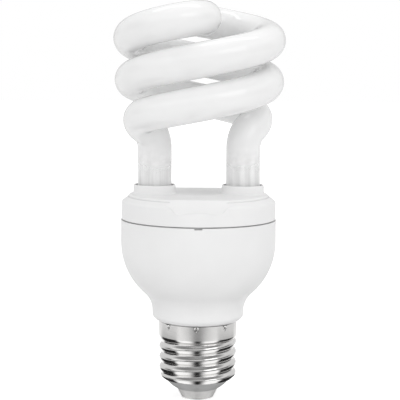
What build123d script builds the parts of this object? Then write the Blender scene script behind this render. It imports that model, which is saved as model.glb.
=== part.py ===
from build123d import *
from math import acos, atan, cos, degrees, pi, radians, sin, sqrt
import os

os.makedirs("parts", exist_ok=True)

# A compact fluorescent lamp with a double spiral tube and an E27 screw cap.
# Millimetres, +Z up, cap down. The origin is the centre of the bottom contact.

# Screw cap
thread_pitch = 25.4 / 7
crest_r = 13.05
thread_depth = 1.0
crest_round = 1.02
crest_half_angle = 52
shell_wall = 0.3
skirt_r = 13.15
skirt_h = 5.0
skirt_fall = 1.6
shell_h = 19.85
lip_r = 11.85
lip_bevel = 1.5
bevel_over = 0.2
first_crest = 1.55
thread_turns = 4.75
ridge_sink = 0.12
root_flat = 0.6
punch_count = 8
punch_r = 0.95
punch_depth = 0.65
punch_drop = 1.0
punch_turn = -92.0
punch_fit = 0.1
contact_h = 3.2
contact_top_r = 7.1
contact_foot_r = 5.45
contact_edge = 0.35
contact_bore_r = 1.1
contact_stem_r = 2.4
contact_stem_h = 2.6
solder_r = 1.9
solder_dish = 0.5
insulator_h = 3.9
insulator_plug_h = 2.6
insulator_bulge = 0.5
insulator_bowl = 0.8
cap_fit = 0.06

# Ballast housing
wall = 1.6
body_r = 26.5
flare_r = 23.0
waist_r = 9.0
flange_r = 15.7
flange_h = 3.1
flange_round = 1.1
band_h = 7.85
neck_h = 10.9
neck_clear = 0.3
neck_fit = 0.1
neck_play = 0.45
neck_bore_r = 10.2
rib_w = 1.4
rib_reach = 2.6
rib_h = 7.0
rib_root = 0.4
notch_w = 2.6
notch_h = 0.5
notch_d = 1.4

# Cover that holds the tube
cover_inset = 0.2
cover_band_h = 5.9
shoulder_in = 2.1
shoulder_rise = 1.55
shoulder_round = 1.0
deck_edge_in = 0.3
deck_step = 0.45
deck_crown = 0.4
deck_bevel = 0.5
corner_in = 3.8
corner_down = 4.1
deck_wall = 1.8
seam_h = 0.4
seam_d = 0.9
spigot_fit = 0.15
spigot_wall = 1.35
spigot_step = 1.3
collar_wall = 0.6
collar_h = 3.15
collar_round = 0.28
collar_foot = 0.9
collar_gap = 0.8
sleeve_wall = 1.2
sleeve_h = 3.2
dish_margin = 0.38
dish_depth = 0.6
facet_tilt = 47.0
facet_in = 2.5
facet_w = 21.4
facet_foot_w = 14.4
facet_shoulder = 2.3
facet_h = 6.1
facet_round = 1.2
hook_w = 5.0
hook_h = 1.6
hook_d = 0.5
hook_lead = 0.9
hook_rise = 1.2
hook_play = 0.15

# Discharge tube
tube_r = 5.8
coil_r = 22.95
coil_flare = 0.9
coil_lead = 27.92
coil_start = 219.5
coil_end = 592.2
coil_above_leg = 8.9
leg_margin = 0.22
leg_top_above_deck = 15.5
leg_below_deck = 6.4
leg_foot_round = 2.2
leg_arc_ratio = 0.634
bridge_arc_ratio = 1.32
bridge_turn = 105.0
bridge_half = 3.6
bridge_rise = 35.0
cement_h = 2.6
cement_skin = 0.05

# Ballast board and what stands on it
board_gap = 0.7
board_t = 1.6
board_rise = 0.6
pin_w = 0.8
pin_h = 4.0
pin_tail = 0.8
pin_at = (19.0, 6.5)
pin_fit = 0.08
filament_wire_r = 0.25
filament_spread = 1.8
filament_drop = 2.4
filament_bend = 0.9
lead_r = 0.3
hole_fit = 0.12
lead_up = 1.0
bulk_r = 5.0
bulk_h = 20.0
bulk_at = (1.5, 0.0)
bulk_crimp = 0.5
bulk_pitch = 5.0
choke_gap = 1.25
core_l = 16.0
core_h = 12.5
core_t = 4.8
core_back = 2.2
core_leg = 2.0
core_middle = 4.0
bobbin_fit = 0.15
bobbin_wall = 0.6
flange_t = 0.7
winding_t = 2.3
winding_fit = 0.05
bobbin_pin_out = 2.0
bobbin_pin_y = 4.6
ring_angle = 62.0
ring_gap = 0.45
ring_r = 4.2
ring_bore_r = 2.4
ring_h = 3.6
ring_edge = 0.4
turns_t = 0.45
turns_w = 2.2
turns_fit = 0.05
turns_bow = 0.5
transistor_y = 4.7
transistor_edge = 1.0
transistor_size = (3.2, 8.0, 10.5)
transistor_gap = 2.0
transistor_pitch = 2.3
film_sizes = ((11.0, 5.0, 10.0), (10.0, 4.6, 8.0))
film_x = (-3.9, -4.45)
film_gap = 0.5
film_round = 0.6
film_lead_in = 1.2
input_r = 3.4
input_h = 8.5
input_waist = 0.8
input_pitch = 4.0
input_angle = -65.0
input_gap = 0.6
axial_edge = 3.9
axial_gap = 0.2
diode_r = 1.35
diode_l = 5.2
diode_count = 4
diode_start = -36.0
resistor_r = 1.15
resistor_l = 6.0
resistor_count = 4
resistor_start = 34.0
trigger_r = 0.9
trigger_l = 4.0
axial_lead = 1.3
fuse_r = 1.7
fuse_l = 9.0
fuse_lift = 0.8
fuse_stub = 2.0
wire_r = 0.55
wire_bend = 2.4
wire_fit = 0.15
contact_wire_gap = 0.65
contact_wire_rise = 3.0
contact_wire_slope = 6.0
shell_wire_gap = 0.55
shell_wire_drop = 1.6

# Heights that follow from the sizes above
lip_z = contact_h + insulator_h
shell_top = lip_z + shell_h
root_r = crest_r - thread_depth
skirt_z = shell_top - skirt_h
rim_z = shell_top
flare_angle = acos(1 - (body_r - flange_r) / (flare_r + waist_r))
waist_z = rim_z + flange_h
flare_z = waist_z + (flare_r + waist_r) * sin(flare_angle)
seam_z = flare_z + band_h
board_z = flare_z + board_rise
board_top = board_z + board_t
shoulder_z = seam_z + seam_h + cover_band_h
deck_z = shoulder_z + shoulder_rise + deck_step + deck_crown
ceiling_z = deck_z - deck_wall
leg_top_z = deck_z + leg_top_above_deck
foot_z = deck_z - leg_below_deck
coil_half_turn_z = leg_top_z + coil_above_leg
bridge_z = coil_half_turn_z + bridge_rise
cover_r = body_r - cover_inset
deck_edge_r = cover_r - shoulder_in - deck_edge_in
collar_bore_r = tube_r + collar_gap
collar_r = collar_bore_r + collar_wall
leg_x = deck_edge_r - deck_bevel - collar_foot - collar_r - leg_margin
dish_r = leg_x - collar_r - collar_foot - dish_margin
board_r = body_r - wall - board_gap
spigot_r = body_r - wall - spigot_fit
neck_seat_r = skirt_r - shell_wall - neck_fit
neck_r = root_r - shell_wall - neck_play


def coil_radius(angle):
    """radius of the spiral's centreline at an angle in degrees"""
    return coil_r + coil_flare * (angle - 410) / 360


def coil_point(angle):
    """point of the spiral's centreline"""
    r = coil_radius(angle)
    z = coil_half_turn_z + coil_lead * (angle - 180) / 360
    return Vector(r * cos(radians(angle)), r * sin(radians(angle)), z)


def coil_direction(angle):
    """unit vector along the spiral's centreline"""
    out = Vector(cos(radians(angle)), sin(radians(angle)), 0)
    side = Vector(-sin(radians(angle)), cos(radians(angle)), 0)
    turn = out * coil_flare + side * (2 * pi * coil_radius(angle)) + Vector(0, 0, coil_lead)
    return turn.normalized()


def meeting_point(start, start_way, end, end_way, ratio):
    """point where two arcs that leave start and end along their directions meet smoothly"""
    span = end - start
    pull = start_way * ratio + end_way
    a = pull.dot(pull) - (ratio + 1) ** 2
    b = -2 * span.dot(pull)
    root = sqrt(b * b - 4 * a * span.dot(span))
    reach = min(x for x in ((-b + root) / (2 * a), (-b - root) / (2 * a)) if x > 0)
    near = start + start_way * (ratio * reach)
    far = end - end_way * reach
    return (near + far * ratio) * (1 / (1 + ratio))


# Discharge tube: one strand's centreline, from a leg's foot to the middle of the bridge
up = Vector(0, 0, 1)
leg_top = Vector(-leg_x, 0, leg_top_z)
leg_start = Vector(-leg_x, 0, foot_z + leg_foot_round)
coil_in = coil_point(coil_start)
coil_out = coil_point(coil_end)
bridge_way = Vector(cos(radians(bridge_turn)), sin(radians(bridge_turn)), 0)
bridge_middle = Vector(0, 0, bridge_z)
bridge_start = bridge_middle - bridge_way * bridge_half
leg_bend = meeting_point(leg_top, up, coil_in, coil_direction(coil_start), leg_arc_ratio)
top_bend = meeting_point(coil_out, coil_direction(coil_end), bridge_start, bridge_way, bridge_arc_ratio)
coil_rise = coil_out.Z - coil_in.Z
flare_cone = atan(coil_flare / coil_lead)

with BuildLine() as strand:
    Line(leg_start, leg_top)
    lower_arc = TangentArc(leg_top, leg_bend, tangent=up)
    TangentArc(leg_bend, coil_in, tangent=lower_arc % 1)
    coil = Helix(
        coil_lead / cos(flare_cone),
        coil_rise,
        coil_radius(coil_start),
        cone_angle=degrees(flare_cone),
        mode=Mode.PRIVATE,
    )
    add(coil.rotate(Axis.Z, coil_start).translate((0, 0, coil_in.Z)))
    upper_arc = TangentArc(coil_out, top_bend, tangent=coil_direction(coil_end))
    TangentArc(top_bend, bridge_start, tangent=upper_arc % 1)
    Line(bridge_start, bridge_middle)

# The second strand is the first one turned half round the lamp's axis
with BuildLine() as spiral:
    for turn in (0, 180):
        add(strand.line.rotate(Axis.Z, turn))

with BuildPart() as discharge_tube:
    with BuildSketch(Plane(leg_start, z_dir=up)):
        Circle(tube_r)
    sweep(path=spiral.wire())
    # each leg ends in a rounded, sealed foot
    for side in (-1, 1):
        with BuildSketch(Plane((side * leg_x, 0, foot_z), x_dir=(1, 0, 0), z_dir=(0, -1, 0))):
            with BuildLine():
                Line((0, leg_foot_round), (0, 0))
                Line((0, 0), (tube_r - leg_foot_round, 0))
                CenterArc((tube_r - leg_foot_round, leg_foot_round), leg_foot_round, -90, 90)
                Line((tube_r, leg_foot_round), (0, leg_foot_round))
            make_face()
        revolve(axis=Axis((side * leg_x, 0, foot_z), (0, 0, 1)))
discharge_tube.part.label = "discharge_tube"
export_step(discharge_tube.part, "parts/discharge_tube.step")


# Screw shell: a turned form with a helical ridge, trimmed by the lip's bevel, then hollowed
crest_x = crest_r - crest_round + crest_round * cos(radians(crest_half_angle))
crest_y = crest_round * sin(radians(crest_half_angle))
ridge_foot_x = root_r - ridge_sink
ridge_foot_y = (thread_pitch - root_flat) / 2
ridge_z = lip_z + first_crest - thread_pitch

with BuildPart() as thread_ridge:
    with BuildLine() as ridge_path:
        Helix(thread_pitch, thread_pitch * thread_turns, ridge_foot_x, center=(0, 0, ridge_z))
    with BuildSketch(Plane((0, 0, ridge_z), x_dir=(1, 0, 0), z_dir=(0, -1, 0))):
        with BuildLine():
            Line((ridge_foot_x, ridge_foot_y), (crest_x, crest_y))
            ThreePointArc((crest_x, crest_y), (crest_r, 0), (crest_x, -crest_y))
            Line((crest_x, -crest_y), (ridge_foot_x, -ridge_foot_y))
            Line((ridge_foot_x, -ridge_foot_y), (ridge_foot_x, ridge_foot_y))
        make_face()
    sweep(path=ridge_path.line, is_frenet=True)

punch_centre_r = skirt_r + punch_r - punch_depth
punch_z = shell_top - punch_drop

with BuildPart() as punch_knobs:
    with PolarLocations(punch_centre_r, punch_count, start_angle=punch_turn):
        with Locations((0, 0, punch_z)):
            Sphere(punch_r + shell_wall)
    with BuildSketch(Plane.XZ):
        with Locations((skirt_r - shell_wall / 3, shell_top)):
            Rectangle(2 * punch_depth, skirt_h, align=(Align.MAX, Align.MAX))
    revolve(axis=Axis.Z, mode=Mode.INTERSECT)

with BuildPart() as screw_shell:
    with BuildSketch(Plane.XZ):
        with BuildLine():
            Polyline(
                (0, lip_z),
                (root_r, lip_z),
                (root_r, skirt_z - skirt_fall),
                (skirt_r, skirt_z),
                (skirt_r, shell_top),
                (0, shell_top),
                close=True,
            )
        make_face()
    revolve(axis=Axis.Z)
    add(thread_ridge.part)
    with BuildSketch(Plane.XZ):
        with BuildLine():
            Polyline(
                (0, lip_z),
                (lip_r, lip_z),
                (skirt_r + bevel_over, lip_z + lip_bevel),
                (skirt_r + bevel_over, shell_top),
                (0, shell_top),
                close=True,
            )
        make_face()
    revolve(axis=Axis.Z, mode=Mode.INTERSECT)
    with BuildSketch(Plane.XZ):
        with BuildLine():
            Polyline(
                (0, lip_z),
                (lip_r - shell_wall, lip_z),
                (root_r - shell_wall, lip_z + shell_wall),
                (root_r - shell_wall, skirt_z - skirt_fall),
                (skirt_r - shell_wall, skirt_z),
                (skirt_r - shell_wall, shell_top),
                (0, shell_top),
                close=True,
            )
        make_face()
    revolve(axis=Axis.Z, mode=Mode.SUBTRACT)
    # punch marks lock the skirt to the neck: each is a dent outside and a knob inside
    add(punch_knobs.part)
    with PolarLocations(punch_centre_r, punch_count, start_angle=punch_turn):
        with Locations((0, 0, punch_z)):
            Sphere(punch_r, mode=Mode.SUBTRACT)
screw_shell.part.label = "screw_shell"
export_step(screw_shell.part, "parts/screw_shell.step")


# Insulator: a plug behind the shell's lip, a domed cone below it and a bore for the contact's stem
insulator_top = lip_z + insulator_plug_h
insulator_r = lip_r - shell_wall - cap_fit
plug_r = root_r - shell_wall - cap_fit
insulator_foot_r = contact_top_r + cap_fit
stem_bore_r = contact_stem_r + cap_fit

with BuildPart() as cap_insulator:
    with BuildSketch(Plane.XZ):
        with BuildLine():
            Line((stem_bore_r, contact_h), (insulator_foot_r, contact_h))
            ThreePointArc(
                (insulator_foot_r, contact_h),
                (
                    (insulator_foot_r + insulator_r + insulator_bulge) / 2,
                    (contact_h + lip_z - insulator_bulge) / 2,
                ),
                (insulator_r, lip_z),
            )
            Polyline(
                (insulator_r, lip_z),
                (plug_r, lip_z + shell_wall + cap_fit),
                (plug_r, insulator_top),
                (neck_r - neck_play, insulator_top),
                (neck_r - neck_play - insulator_bowl, insulator_top - insulator_bowl),
                (stem_bore_r, insulator_top - insulator_bowl),
                (stem_bore_r, contact_h),
            )
        make_face()
    revolve(axis=Axis.Z)
cap_insulator.part.label = "cap_insulator"
export_step(cap_insulator.part, "parts/cap_insulator.step")


# Centre contact: a tapered button on a hollow stem, dished below for its solder
with BuildPart() as centre_contact:
    with BuildSketch(Plane.XZ):
        with BuildLine():
            Polyline(
                (contact_bore_r, solder_dish),
                (solder_r, solder_dish),
                (solder_r + solder_dish / 2, 0),
                (contact_foot_r, 0),
                (contact_top_r, contact_h),
                (contact_stem_r, contact_h),
                (contact_stem_r, contact_h + contact_stem_h),
                (contact_bore_r, contact_h + contact_stem_h),
                close=True,
            )
        make_face()
    revolve(axis=Axis.Z)
    rim_edges = centre_contact.edges().filter_by(GeomType.CIRCLE).group_by(Axis.Z)[0]
    fillet(rim_edges.sort_by(SortBy.RADIUS)[-1], contact_edge)
centre_contact.part.label = "centre_contact"
export_step(centre_contact.part, "parts/centre_contact.step")


# Solder in the contact's dish and bore
with BuildPart() as contact_solder:
    with BuildSketch(Plane.XZ):
        with BuildLine():
            ThreePointArc((0, 0), (solder_r / 2, solder_dish / 8), (solder_r - cap_fit, solder_dish / 2))
            Polyline(
                (solder_r - cap_fit, solder_dish / 2),
                (solder_r - cap_fit, solder_dish),
                (contact_bore_r - cap_fit, solder_dish),
                (contact_bore_r - cap_fit, 3 * solder_dish),
                (0, 3 * solder_dish),
                (0, 0),
            )
        make_face()
    revolve(axis=Axis.Z)
contact_solder.part.label = "contact_solder"
export_step(contact_solder.part, "parts/contact_solder.step")


# Ballast housing: a moulded cup whose wall follows two tangent arcs down to the cap's neck
neck_seat_z = skirt_z + neck_clear
neck_foot_z = rim_z - neck_h
flare_degrees = degrees(flare_angle)
flare_centre = (body_r - flare_r, flare_z)
waist_centre = (flange_r + waist_r, waist_z)
hook_z = board_top + hook_rise


def radial_plane(angle):
    """upright plane through the lamp's axis, its x pointing outwards at an angle in degrees"""
    way = (cos(radians(angle)), sin(radians(angle)), 0)
    return Plane((0, 0, 0), x_dir=way, z_dir=(way[1], -way[0], 0))


with BuildPart() as ballast_housing:
    with BuildSketch(Plane.XZ):
        with BuildLine():
            Line((body_r - wall, seam_z), (body_r, seam_z))
            Line((body_r, seam_z), (body_r, flare_z))
            CenterArc(flare_centre, flare_r, 0, -flare_degrees)
            CenterArc(waist_centre, waist_r, 180, -flare_degrees)
            Line((flange_r, waist_z), (flange_r, rim_z + flange_round))
            CenterArc((flange_r - flange_round, rim_z + flange_round), flange_round, 0, -90)
            Polyline(
                (flange_r - flange_round, rim_z),
                (neck_seat_r, rim_z),
                (neck_seat_r, neck_seat_z),
                (neck_r, neck_seat_z - skirt_fall),
                (neck_r, neck_foot_z),
                (neck_bore_r, neck_foot_z),
                (neck_bore_r, rim_z),
                (flange_r - wall, waist_z),
            )
            CenterArc(waist_centre, waist_r + wall, 180, -flare_degrees)
            CenterArc(flare_centre, flare_r - wall, 0, -flare_degrees)
            Line((body_r - wall, flare_z), (body_r - wall, seam_z))
        make_face()
    revolve(axis=Axis.Z)
    # ribs that carry the board
    for angle in (0, 90, 180, 270):
        with BuildSketch(radial_plane(angle)):
            with Locations((body_r - wall, board_z)):
                Rectangle(rib_reach, rib_h, align=(Align.MAX, Align.MAX))
            with Locations((body_r - wall, board_z)):
                Rectangle(rib_root, rib_h, align=(Align.MIN, Align.MAX))
        extrude(amount=rib_w / 2, both=True)
    # recesses for the cover's snap hooks
    for angle in (45, 135, 225, 315):
        with BuildSketch(radial_plane(angle)):
            with Locations((spigot_r - hook_d, hook_z - hook_play)):
                Rectangle(
                    2 * hook_d + hook_play,
                    hook_h + 2 * hook_play,
                    align=(Align.MIN, Align.MIN),
                )
        extrude(amount=hook_w / 2 + hook_play, both=True, mode=Mode.SUBTRACT)
    # slot in the top edge to lever the cover off
    with BuildSketch(radial_plane(-90)):
        with Locations((body_r - notch_d, seam_z - notch_h)):
            Rectangle(2 * notch_d, 2 * notch_h, align=(Align.MIN, Align.MIN))
    extrude(amount=notch_w / 2, both=True, mode=Mode.SUBTRACT)
    # sockets for the cap's punch marks
    with PolarLocations(punch_centre_r, punch_count, start_angle=punch_turn):
        with Locations((0, 0, punch_z)):
            Sphere(punch_r + shell_wall + punch_fit, mode=Mode.SUBTRACT)
ballast_housing.part.label = "ballast_housing"
export_step(ballast_housing.part, "parts/ballast_housing.step")


# Cover: a turned cap with spigot, two collars for the legs, a dish between them and two flat facets
spigot_bore_r = spigot_r - spigot_wall
ledge_z = shoulder_z + shoulder_rise
cover_bore_r = cover_r - wall
sleeve_z = ceiling_z - sleeve_h
dish_ball_r = (dish_r**2 + dish_depth**2) / (2 * dish_depth)

with BuildPart() as tube_holder:
    with BuildSketch(Plane.XZ):
        with BuildLine():
            Polyline(
                (spigot_bore_r, board_top),
                (spigot_r, board_top),
                (spigot_r, seam_z),
                (cover_r - seam_d, seam_z),
                (cover_r - seam_d, seam_z + seam_h),
                (cover_r, seam_z + seam_h),
                (cover_r, shoulder_z),
                (cover_r - shoulder_in, ledge_z),
                (deck_edge_r, ledge_z),
                (deck_edge_r, ledge_z + deck_step),
                (deck_edge_r - deck_bevel, deck_z),
                (0, deck_z),
                (0, ceiling_z),
                (cover_bore_r - corner_in, ceiling_z),
                (cover_bore_r, ceiling_z - corner_down),
                (cover_bore_r, ceiling_z - corner_down - spigot_step),
                (spigot_bore_r, ceiling_z - corner_down - 2 * spigot_step),
                close=True,
            )
        make_face()
    revolve(axis=Axis.Z)
    cover_rings = tube_holder.edges().filter_by(GeomType.CIRCLE).sort_by(SortBy.RADIUS)
    fillet(cover_rings.group_by(SortBy.RADIUS)[-1].sort_by(Axis.Z)[-1], shoulder_round)
    # shallow dish in the middle of the deck
    with Locations((0, 0, deck_z + dish_ball_r - dish_depth)):
        Sphere(dish_ball_r, mode=Mode.SUBTRACT)
    # collars above the deck and guide sleeves below it
    with BuildSketch(Plane.XY.offset(deck_z)):
        with Locations((-leg_x, 0), (leg_x, 0)):
            Circle(collar_r)
    extrude(amount=collar_h)
    collar_feet = tube_holder.edges().filter_by(GeomType.CIRCLE)
    collar_feet = collar_feet.filter_by(lambda e: abs(e.radius - collar_r) < 0.001)
    fillet(collar_feet.group_by(Axis.Z)[0], collar_foot)
    with BuildSketch(Plane.XY.offset(ceiling_z)):
        with Locations((-leg_x, 0), (leg_x, 0)):
            Circle(collar_bore_r + sleeve_wall)
    extrude(amount=-sleeve_h)
    with BuildSketch(Plane.XY.offset(deck_z + collar_h)):
        with Locations((-leg_x, 0), (leg_x, 0)):
            Circle(collar_bore_r)
    extrude(amount=sleeve_z - deck_z - collar_h, mode=Mode.SUBTRACT)
    fillet(tube_holder.edges().group_by(Axis.Z)[-1], collar_round)
    # flat facet on the front and the back of the shoulder
    for side in (-1, 1):
        facet_plane = Plane(
            (0, side * (deck_edge_r - facet_in), deck_z),
            x_dir=(1, 0, 0),
            z_dir=(0, side * sin(radians(facet_tilt)), cos(radians(facet_tilt))),
        )
        with BuildSketch(facet_plane) as facet:
            with BuildLine():
                Polyline(
                    (-facet_w / 2, side * -facet_in),
                    (-facet_w / 2, side * facet_shoulder),
                    (-facet_foot_w / 2, side * facet_h),
                    (facet_foot_w / 2, side * facet_h),
                    (facet_w / 2, side * facet_shoulder),
                    (facet_w / 2, side * -facet_in),
                    close=True,
                )
            make_face()
            fillet(facet.vertices().filter_by(lambda v: v.Y * side > 0), facet_round)
        extrude(amount=facet_h, mode=Mode.SUBTRACT)
    # snap hooks on the spigot
    for angle in (45, 135, 225, 315):
        with BuildSketch(radial_plane(angle)):
            with BuildLine():
                Polyline(
                    (spigot_r - hook_d, hook_z),
                    (spigot_r, hook_z),
                    (spigot_r + hook_d, hook_z + hook_lead),
                    (spigot_r + hook_d, hook_z + hook_h),
                    (spigot_r - hook_d, hook_z + hook_h),
                    close=True,
                )
            make_face()
        extrude(amount=hook_w / 2, both=True)
tube_holder.part.label = "tube_holder"
export_step(tube_holder.part, "parts/tube_holder.step")


# Putty that fixes each leg in its sleeve
with BuildPart() as leg_cement:
    with BuildSketch(Plane.XY.offset(ceiling_z)):
        with Locations((-leg_x, 0), (leg_x, 0)):
            Circle(collar_bore_r - cement_skin)
            Circle(tube_r + cement_skin, mode=Mode.SUBTRACT)
    extrude(amount=-cement_h)
leg_cement.part.label = "leg_cement"
export_step(leg_cement.part, "parts/leg_cement.step")


# Where the parts stand under the ballast board: small ones in a ring, large ones inside it
axial_ring_r = board_r - axial_edge
lead_room = 2 * axial_lead + 2 * lead_r + axial_gap


def ring_step(length):
    """angle on the ring that a part of this length takes up, with its leads"""
    return degrees((length + lead_room) / axial_ring_r)


def on_ring(angle, along=0.0):
    """point on the ring of small parts, moved along the ring's tangent"""
    out = Vector(cos(radians(angle)), sin(radians(angle)), 0) * axial_ring_r
    return out + Vector(-sin(radians(angle)), cos(radians(angle)), 0) * along


def inside_ring(angle, distance):
    """place at an angle, this far inside the ring"""
    r = axial_ring_r - distance
    return (r * cos(radians(angle)), r * sin(radians(angle)))


def row_beside_ring(part_r, reach, half_depth):
    """distance from the axis at which a box clears the ring at its outer corner"""
    return sqrt((axial_ring_r - part_r - film_gap) ** 2 - reach**2) - half_depth


diode_angles = [diode_start - i * ring_step(diode_l) for i in range(diode_count)]
resistor_angles = [resistor_start + i * ring_step(resistor_l) for i in range(resistor_count)]
trigger_angle = resistor_angles[-1] + ring_step((resistor_l + trigger_l) / 2)

pin_places = [(x * pin_at[0], y * pin_at[1]) for x in (-1, 1) for y in (-1, 1)]
bulk_leads = [(bulk_at[0], bulk_at[1] + y * bulk_pitch / 2) for y in (-1, 1)]
contact_wire_x = bulk_at[0] - bulk_r - contact_wire_gap - wire_r
shell_wire_y = bulk_at[1] - bulk_r - shell_wire_gap - wire_r
wire_places = [(contact_wire_x, 0), (0, shell_wire_y)]

bobbin_half_x = core_t / 2 + bobbin_fit + bobbin_wall + winding_fit + winding_t
window_half_y = core_l / 2 - core_leg
choke_at = (contact_wire_x - wire_r - choke_gap - bobbin_half_x, 0)
bobbin_pins = [
    (choke_at[0] + x * (core_t / 2 + bobbin_pin_out), choke_at[1] + y * bobbin_pin_y)
    for x in (-1, 1)
    for y in (-1, 1)
]

ring_outer_r = ring_r + turns_fit + turns_bow / 2 + turns_t
ring_at = inside_ring(ring_angle, resistor_r + ring_gap + ring_outer_r)
input_at = inside_ring(input_angle, diode_r + input_gap + input_r)
input_leads = [(input_at[0] + x * input_pitch / 2, input_at[1]) for x in (-1, 1)]

transistor_reach = transistor_y + transistor_size[1] / 2
transistor_out = sqrt((axial_ring_r - diode_r - transistor_edge) ** 2 - transistor_reach**2)
transistor_x = transistor_out - transistor_size[0] / 2
transistor_places = [(transistor_x, y * transistor_y) for y in (-1, 1)]
transistor_leads = [
    (x, y + step * transistor_pitch) for x, y in transistor_places for step in (-1, 0, 1)
]

film_places = [
    (x, way * row_beside_ring(part_r, size[0] / 2 - x, size[1] / 2))
    for x, size, way, part_r in zip(film_x, film_sizes, (-1, 1), (diode_r, resistor_r))
]
film_leads = [
    (place[0] + x * (size[0] / 2 - film_lead_in), place[1])
    for place, size in zip(film_places, film_sizes)
    for x in (-1, 1)
]
axial_parts = (
    [(angle, diode_l) for angle in diode_angles]
    + [(angle, resistor_l) for angle in resistor_angles]
    + [(trigger_angle, trigger_l)]
)
axial_leads = [
    on_ring(angle, side * (length / 2 + axial_lead))
    for angle, length in axial_parts
    for side in (-1, 1)
]
lead_places = bulk_leads + transistor_leads + film_leads + input_leads + bobbin_pins
lead_places += [(p.X, p.Y) for p in axial_leads]


# Ballast board: a round board with a hole for every pin, lead and wire
with BuildPart() as circuit_board:
    with BuildSketch(Plane.XY.offset(board_z)):
        Circle(board_r)
        with Locations(pin_places):
            Rectangle(pin_w + 2 * pin_fit, pin_w + 2 * pin_fit, mode=Mode.SUBTRACT)
        with Locations(lead_places):
            Circle(lead_r + hole_fit, mode=Mode.SUBTRACT)
        with Locations(wire_places):
            Circle(wire_r + wire_fit, mode=Mode.SUBTRACT)
    extrude(amount=board_t)
circuit_board.part.label = "circuit_board"
export_step(circuit_board.part, "parts/circuit_board.step")


# Wrap pins: square pins through the board
with BuildPart() as wrap_pins:
    with BuildSketch(Plane.XY.offset(board_z - pin_tail)):
        with Locations(pin_places):
            Rectangle(pin_w, pin_w)
    extrude(amount=pin_tail + board_t + pin_h)
wrap_pins.part.label = "wrap_pins"
export_step(wrap_pins.part, "parts/wrap_pins.step")


# Wires from the legs' feet to the sides of the pins
with BuildPart() as filament_leads:
    for x, y in pin_places:
        side = 1 if x > 0 else -1
        spread = filament_spread if y > 0 else -filament_spread
        beside = x - side * (pin_w / 2 + filament_wire_r)
        start = (side * leg_x, spread, foot_z)
        with BuildLine() as lead_path:
            FilletPolyline(
                start,
                (side * leg_x, spread, foot_z - filament_drop),
                (beside, y, board_top + pin_h - filament_drop / 2),
                (beside, y, board_top + pin_h / 4),
                radius=filament_bend,
            )
        with BuildSketch(Plane(start, z_dir=(0, 0, -1))):
            Circle(filament_wire_r)
        sweep(path=lead_path.wire())
filament_leads.part.label = "filament_leads"
export_step(filament_leads.part, "parts/filament_leads.step")


# Bulk capacitor: a can with a crimped groove near its sealed end
with BuildPart() as bulk_capacitor:
    with BuildSketch(Plane.XY.offset(board_z)):
        with Locations(bulk_at):
            Circle(bulk_r)
    extrude(amount=-bulk_h)
    fillet(bulk_capacitor.edges().group_by(Axis.Z)[0], bulk_crimp)
    with Locations((bulk_at[0], bulk_at[1], board_z - 4 * bulk_crimp)):
        Torus(bulk_r + bulk_crimp / 2, bulk_crimp, mode=Mode.SUBTRACT)
    with BuildSketch(Plane.XY.offset(board_z)):
        with Locations(bulk_leads):
            Circle(lead_r)
    extrude(amount=board_t + lead_up)
bulk_capacitor.part.label = "bulk_capacitor"
export_step(bulk_capacitor.part, "parts/bulk_capacitor.step")


# Choke core: two E-shaped halves that meet at mid height
core_half_h = core_h / 2
core_mid_z = board_z - core_half_h


def e_core(way):
    """outline of one half core, its back away from the meeting plane by the sign of way"""
    reach = way * core_half_h
    inner = way * (core_half_h - core_back)
    half = core_l / 2
    middle = core_middle / 2
    return [
        (-half, 0),
        (-half, reach),
        (half, reach),
        (half, 0),
        (half - core_leg, 0),
        (half - core_leg, inner),
        (middle, inner),
        (middle, 0),
        (-middle, 0),
        (-middle, inner),
        (core_leg - half, inner),
        (core_leg - half, 0),
    ]


core_plane = Plane((choke_at[0], choke_at[1], core_mid_z), x_dir=(0, 1, 0), z_dir=(1, 0, 0))

with BuildPart() as choke_core_upper:
    with BuildSketch(core_plane):
        with BuildLine():
            Polyline(*e_core(1), close=True)
        make_face()
    extrude(amount=core_t / 2, both=True)
choke_core_upper.part.label = "choke_core_upper"
export_step(choke_core_upper.part, "parts/choke_core_upper.step")

with BuildPart() as choke_core_lower:
    with BuildSketch(core_plane):
        with BuildLine():
            Polyline(*e_core(-1), close=True)
        make_face()
    extrude(amount=core_t / 2, both=True)
choke_core_lower.part.label = "choke_core_lower"
export_step(choke_core_lower.part, "parts/choke_core_lower.step")


# Choke bobbin: a square sleeve on the middle leg between two flanges, with four pins
tube_x = core_t + 2 * bobbin_fit
tube_y = core_middle + 2 * bobbin_fit
window_h = core_h - 2 * core_back - 2 * bobbin_fit
bobbin_z = core_mid_z - window_h / 2

with BuildPart() as choke_bobbin:
    with BuildSketch(Plane.XY.offset(bobbin_z)):
        with Locations(choke_at):
            Rectangle(tube_x + 2 * bobbin_wall, tube_y + 2 * bobbin_wall)
    extrude(amount=window_h)
    with BuildSketch(Plane.XY.offset(bobbin_z), Plane.XY.offset(bobbin_z + window_h - flange_t)):
        with Locations(choke_at):
            RectangleRounded(2 * bobbin_half_x, 2 * (window_half_y - bobbin_fit), film_round)
    extrude(amount=flange_t)
    with BuildSketch(Plane.XY.offset(bobbin_z)):
        with Locations(choke_at):
            Rectangle(tube_x, tube_y)
    extrude(amount=window_h, mode=Mode.SUBTRACT)
    with BuildSketch(Plane.XY.offset(bobbin_z + window_h)):
        with Locations(bobbin_pins):
            Circle(lead_r)
    extrude(amount=board_top + lead_up - bobbin_z - window_h)
choke_bobbin.part.label = "choke_bobbin"
export_step(choke_bobbin.part, "parts/choke_bobbin.step")


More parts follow.
